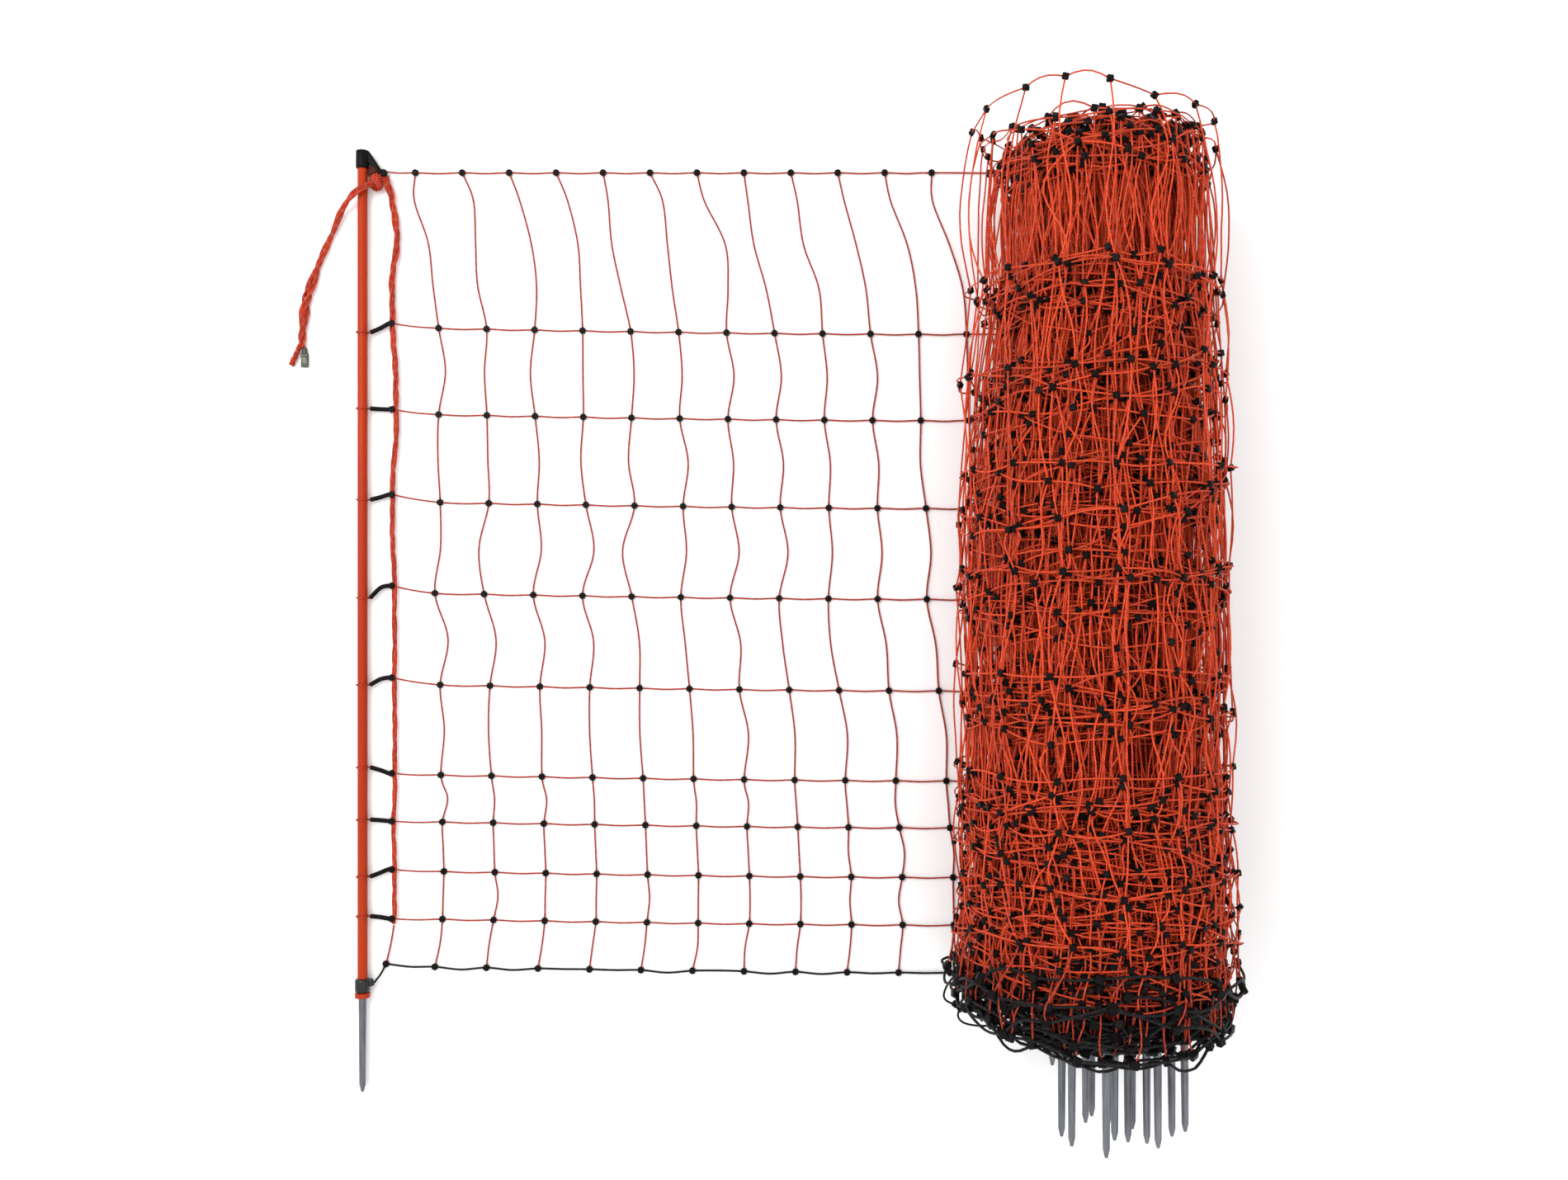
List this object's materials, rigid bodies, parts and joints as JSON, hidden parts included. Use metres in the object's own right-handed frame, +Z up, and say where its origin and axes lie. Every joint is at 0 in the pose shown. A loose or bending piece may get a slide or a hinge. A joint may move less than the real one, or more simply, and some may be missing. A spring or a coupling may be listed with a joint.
{
  "type": "electric poultry netting",
  "caption": "Electric poultry netting laid flat: an end post with a steel spike, a spread stretch of orange knotted net, and the rest of the net rolled up round its other posts.",
  "frame": {"origin": "under the middle of the part's box, on the floor, measured without the tie lead, its connector and its tail", "axes": "+Z up, +Y along the posts from the spikes to the caps, +X from the end post towards the roll"},
  "size_m": [1.2024, 1.284, 0.317],
  "materials": {
    "post_plastic": "smooth orange plastic",
    "orange_wire": "twisted orange polywire with fine steel wires",
    "black_plastic": "moulded black plastic",
    "galvanised_steel": "dull galvanised steel"
  },
  "bodies": {
    "root": {"end_post_rod": "post_plastic", "end_post_spike": "galvanised_steel", "end_post_cap": "black_plastic", "end_post_clip": "black_plastic", "tie_thread_02": "orange_wire", "tie_sleeve_02": "black_plastic", "tie_thread_03": "orange_wire", "tie_sleeve_03": "black_plastic", "tie_thread_04": "orange_wire", "tie_sleeve_04": "black_plastic", "tie_thread_05": "orange_wire", "tie_sleeve_05": "black_plastic", "tie_thread_06": "orange_wire", "tie_sleeve_06": "black_plastic", "tie_thread_07": "orange_wire", "tie_sleeve_07": "black_plastic", "tie_thread_08": "orange_wire", "tie_sleeve_08": "black_plastic", "tie_thread_09": "orange_wire", "tie_sleeve_09": "black_plastic", "tie_thread_10": "orange_wire", "tie_sleeve_10": "black_plastic", "net_panel": "orange_wire", "end_band": "orange_wire", "top_knot": "orange_wire", "tie_lead": "orange_wire", "lead_connector": "galvanised_steel", "lead_tail": "orange_wire", "net_roll": "orange_wire", "rolled_rod_01": "post_plastic", "rolled_spike_01": "galvanised_steel", "rolled_rod_02": "post_plastic", "rolled_spike_02": "galvanised_steel", "rolled_rod_03": "post_plastic", "rolled_spike_03": "galvanised_steel", "rolled_rod_04": "post_plastic", "rolled_spike_04": "galvanised_steel", "rolled_rod_05": "post_plastic", "rolled_spike_05": "galvanised_steel", "rolled_rod_06": "post_plastic", "rolled_spike_06": "galvanised_steel", "rolled_rod_07": "post_plastic", "rolled_spike_07": "galvanised_steel", "rolled_rod_08": "post_plastic", "rolled_spike_08": "galvanised_steel", "rolled_rod_09": "post_plastic", "rolled_spike_09": "galvanised_steel", "rolled_rod_10": "post_plastic", "rolled_spike_10": "galvanised_steel", "rolled_rod_11": "post_plastic", "rolled_spike_11": "galvanised_steel", "rolled_rod_12": "post_plastic", "rolled_spike_12": "galvanised_steel", "rolled_rod_13": "post_plastic", "rolled_spike_13": "galvanised_steel", "rolled_rod_14": "post_plastic", "rolled_spike_14": "galvanised_steel"}
  },
  "joints": []
}
